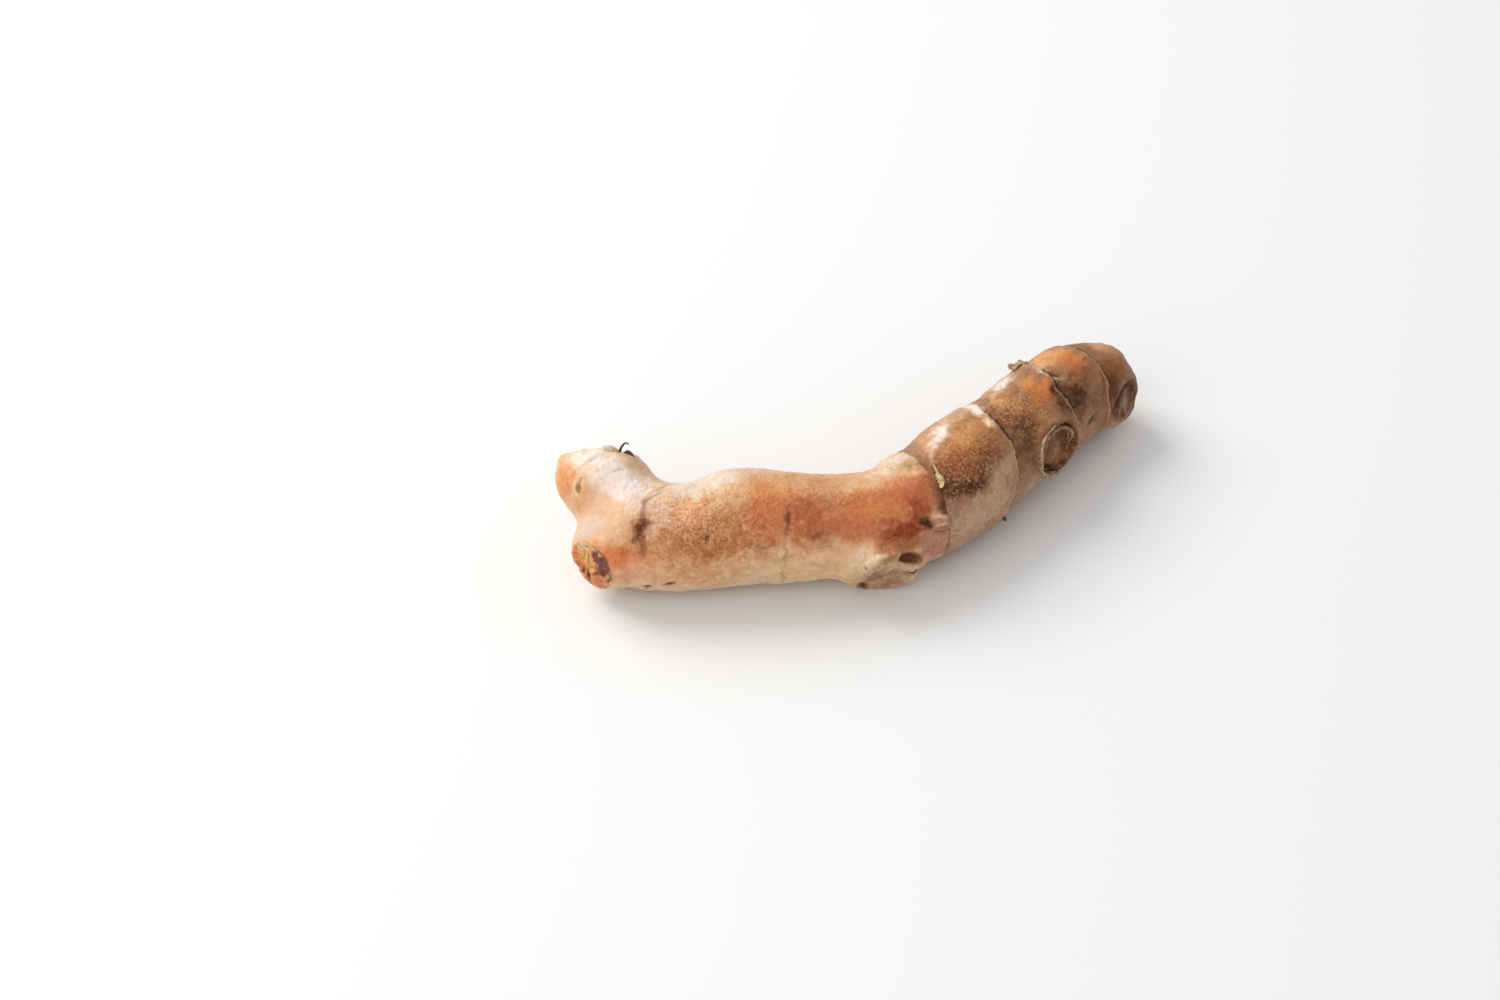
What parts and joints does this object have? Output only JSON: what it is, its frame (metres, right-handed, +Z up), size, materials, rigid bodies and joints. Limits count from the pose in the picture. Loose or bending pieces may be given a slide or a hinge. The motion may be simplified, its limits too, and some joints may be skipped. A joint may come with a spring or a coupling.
{
  "type": "turmeric root",
  "caption": "Fresh turmeric root lying flat: a bent, ringed rhizome that branches into a short and a long finger, with round scars where side shoots broke off.",
  "frame": {"origin": "the middle of the footprint, on the surface that the root lies on", "axes": "+X along the root's longest reach, from the short finger to the long finger's tip; +Z up"},
  "size_m": [0.103, 0.0574, 0.0215],
  "materials": {
    "pale_skin": "smooth fresh root skin, softly shiny",
    "weathered_skin": "older, browner root skin, finely grained"
  },
  "bodies": {
    "root": {"rhizome_body": "pale_skin", "short_finger": "pale_skin", "long_finger": "weathered_skin"}
  },
  "joints": []
}
